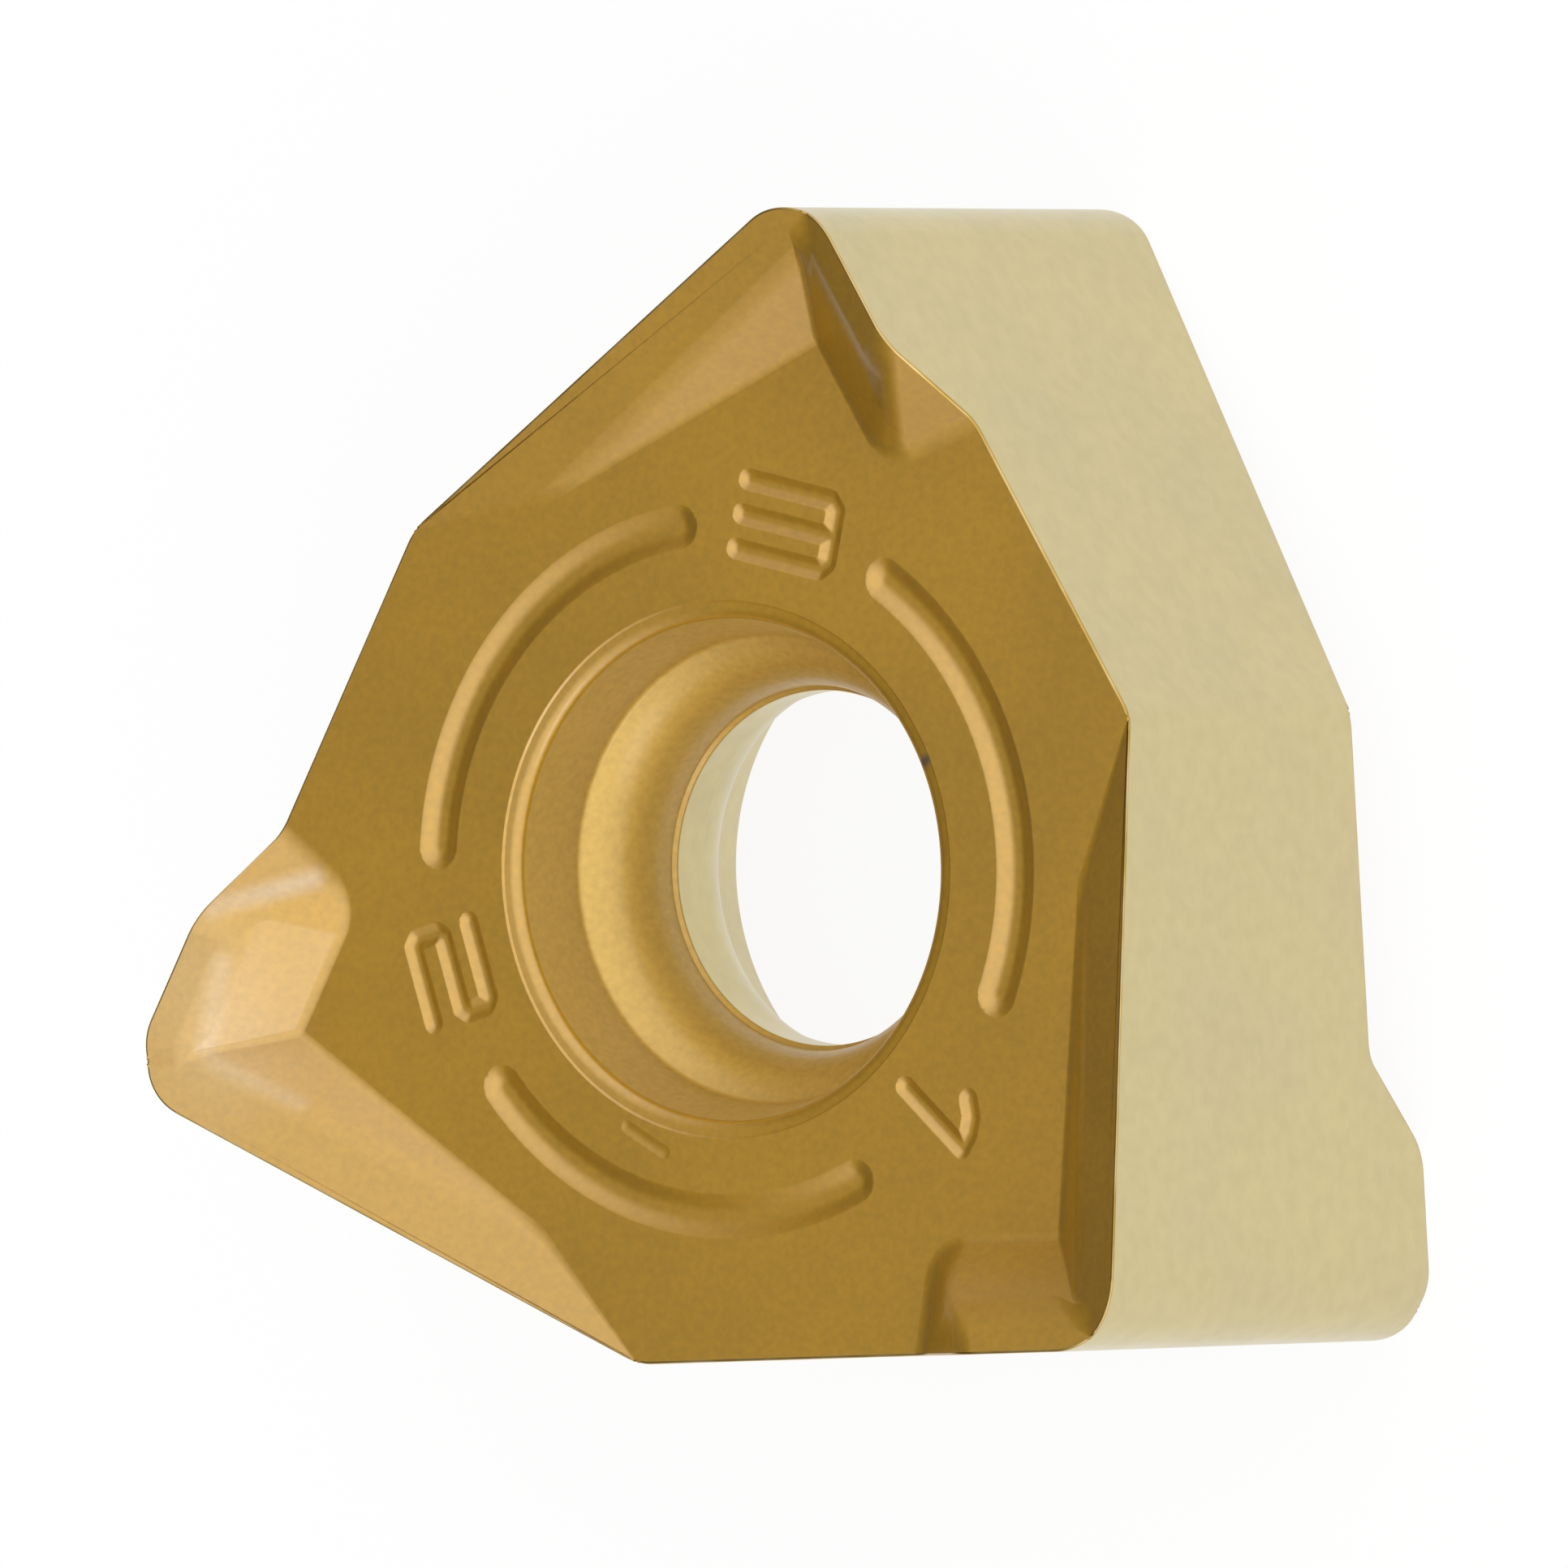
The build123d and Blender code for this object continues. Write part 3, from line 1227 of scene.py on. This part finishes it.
@dataclass(frozen=True)
class HonedEdgeCoat:
    """The coat on the honed cutting edges, brushed thin and bright.

    It gives the eye a hairline of clearer, smoother gold round each rake face.
    """

    colour: str = "AE8F49"
    worn: str = "CBB27A"
    patch: float = 0.5         # mm
    roughness: float = 0.28

    def material(self) -> bpy.types.Material:
        """Build the finish.

        Returns:
            The material.
        """
        coat = new_material("honed_edge_nitride_coat")
        place = add_node(coat, "ShaderNodeTexCoord").outputs["Object"]
        patches = add_node(
            coat, "ShaderNodeTexNoise", {"Scale": per_metre(self.patch), "Detail": 3.0},
            {"Vector": place}).outputs[0]
        worn = add_node(coat, "ShaderNodeMapRange", {1: 0.4, 2: 0.65}, {0: patches}).outputs[0]
        colours = {"data_type": "RGBA", 6: linear(self.colour), 7: linear(self.worn)}
        tone = add_node(coat, "ShaderNodeMix", colours, {0: worn}).outputs[2]
        dull = add_node(coat, "ShaderNodeMapRange",
                        {1: 0.3, 2: 0.7, 3: self.roughness, 4: self.roughness + 0.08},
                        {0: patches}).outputs[0]
        shader = add_node(coat, "ShaderNodeBsdfPrincipled", {"Metallic": 1.0},
                          {"Base Color": tone, "Roughness": dull})
        add_node(coat, "ShaderNodeOutputMaterial", links={"Surface": shader.outputs[0]})
        return coat


# ---- the studio -------------------------------------------------------------------------------


@dataclass(frozen=True)
class Studio:
    """A plain white floor, a soft lamp and the camera.

    The image size and the focal length are in pixels, and the camera's shift and distance in
    millimetres. The lamp's bearing and elevation are in degrees, its distance and size in metres.
    """

    image_size: int = 1932
    focal_pixels: float = 50841.9
    sensor_width: float = 36.0
    turn_degrees: tuple[float, float, float] = (4.06, -33.489, -11.841)
    shift: tuple[float, float] = (0.6954, -1.0839)
    distance: float = 534.6
    floor_size: float = 1.2
    whiteness: float = 0.92
    lamp_bearing: float = -46
    lamp_elevation: float = 29
    lamp_distance: float = 0.8
    lamp_size: tuple[float, float] = (0.44, 0.17)
    lamp_radiance: float = 1.7
    bright_side: tuple[float, float, float] = (0.950, 0.308, 0.053)
    dim_end: float = -0.7
    bright_end: float = 0.26
    dim: float = 0.12
    bright: float = 1.62

    def place_camera(self) -> None:
        """Add the camera, far off and above, with a long lens."""
        vector = Vector([math.radians(angle) for angle in self.turn_degrees])
        turned = Matrix.Rotation(vector.length, 3, vector.normalized())
        back = turned.transposed()
        place = back @ Vector((-self.shift[0], -self.shift[1], self.distance))
        data = bpy.data.cameras.new("camera")
        data.sensor_fit = "HORIZONTAL"
        data.sensor_width = self.sensor_width
        data.lens = self.sensor_width * self.focal_pixels / self.image_size
        data.clip_start = 0.01
        data.clip_end = 10
        camera = bpy.data.objects.new("camera", data)
        camera.matrix_world = Matrix.Translation(place * MILLIMETRE) @ back.to_4x4()
        bpy.context.scene.collection.objects.link(camera)
        bpy.context.scene.camera = camera

    def lay_floor(self) -> None:
        """Add the white floor under the lowest corners."""
        paper = new_material("white_paper_floor")
        matt = add_node(paper, "ShaderNodeBsdfDiffuse", {"Color": (0.9, 0.9, 0.9, 1)}).outputs[0]
        white = add_node(paper, "ShaderNodeEmission",
                         {"Color": (1, 1, 1, 1), "Strength": 1.0}).outputs[0]
        ray = add_node(paper, "ShaderNodeLightPath")
        seen = ray.outputs["Is Camera Ray"]
        for other in ("Is Glossy Ray", "Is Transmission Ray"):
            seen = add_node(paper, "ShaderNodeMath", {"operation": "MAXIMUM"},
                            {0: seen, 1: ray.outputs[other]}).outputs[0]
        share = add_node(paper, "ShaderNodeMath", {"operation": "MULTIPLY", 1: self.whiteness},
                         {0: seen}).outputs[0]
        mixed = add_node(paper, "ShaderNodeMixShader", links={0: share, 1: matt, 2: white})
        add_node(paper, "ShaderNodeOutputMaterial", links={"Surface": mixed.outputs[0]})
        deselect_everything()
        bpy.ops.mesh.primitive_plane_add(size=self.floor_size, location=(0, 0, CAD_BOX[0][2]))
        floor = bpy.context.object
        floor.name = "studio_floor"
        floor.data.materials.append(paper)

    def hang_lamp(self) -> None:
        """Hang the soft lamp so that it faces the part."""
        wide, high = self.lamp_size
        data = bpy.data.lights.new("key_softbox", "AREA")
        data.shape = "RECTANGLE"
        data.size, data.size_y = wide, high
        data.energy = self.lamp_radiance * math.pi * wide * high
        lamp = bpy.data.objects.new("key_softbox", data)
        bearing, elevation = math.radians(self.lamp_bearing), math.radians(self.lamp_elevation)
        level = math.cos(elevation)
        away = Vector((level * math.cos(bearing), level * math.sin(bearing), math.sin(elevation)))
        facing = away.to_track_quat("Z", "Y").to_matrix().to_4x4()
        lamp.matrix_world = Matrix.Translation(away * self.lamp_distance) @ facing
        bpy.context.scene.collection.objects.link(lamp)

    def light(self) -> None:
        """Add the lamp, and a white world that is brighter on the side of the lamp."""
        world = bpy.data.worlds.new("studio")
        bpy.context.scene.world = world
        world.use_nodes = True
        world.node_tree.nodes.clear()
        way = add_node(world, "ShaderNodeTexCoord").outputs["Generated"]
        facing = add_node(
            world, "ShaderNodeVectorMath", {"operation": "DOT_PRODUCT", 1: self.bright_side},
            {0: way}).outputs["Value"]
        fading = {"interpolation_type": "SMOOTHSTEP", 1: self.dim_end, 2: self.bright_end,
                  3: self.dim, 4: self.bright}
        level = add_node(world, "ShaderNodeMapRange", fading, {0: facing}).outputs[0]
        sky = add_node(world, "ShaderNodeBackground", {"Color": (1, 1, 1, 1)},
                       {"Strength": level}).outputs[0]
        add_node(world, "ShaderNodeOutputWorld", links={"Surface": sky})
        self.hang_lamp()
        bpy.context.scene.view_settings.view_transform = "Standard"


def main() -> None:
    """Build the insert and its studio."""
    logging.basicConfig(level=logging.INFO)
    bore_coat = BlastedGoldCoat(name="bore_titanium_nitride_coat", deep="C9A855", bright="CEAD5B",
                                skin=0.4)
    coats = (BlastedGoldCoat(), GroundChampagneCoat(), HonedEdgeCoat(), bore_coat)
    insert = MillingInsert([coat.material() for coat in coats]).model()
    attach(insert, BODY)
    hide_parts(NODE)
    log.info("%s: %d faces", insert.name, len(insert.data.polygons))
    studio = Studio()
    studio.place_camera()
    studio.lay_floor()
    studio.light()


if __name__ == "__main__":
    main()
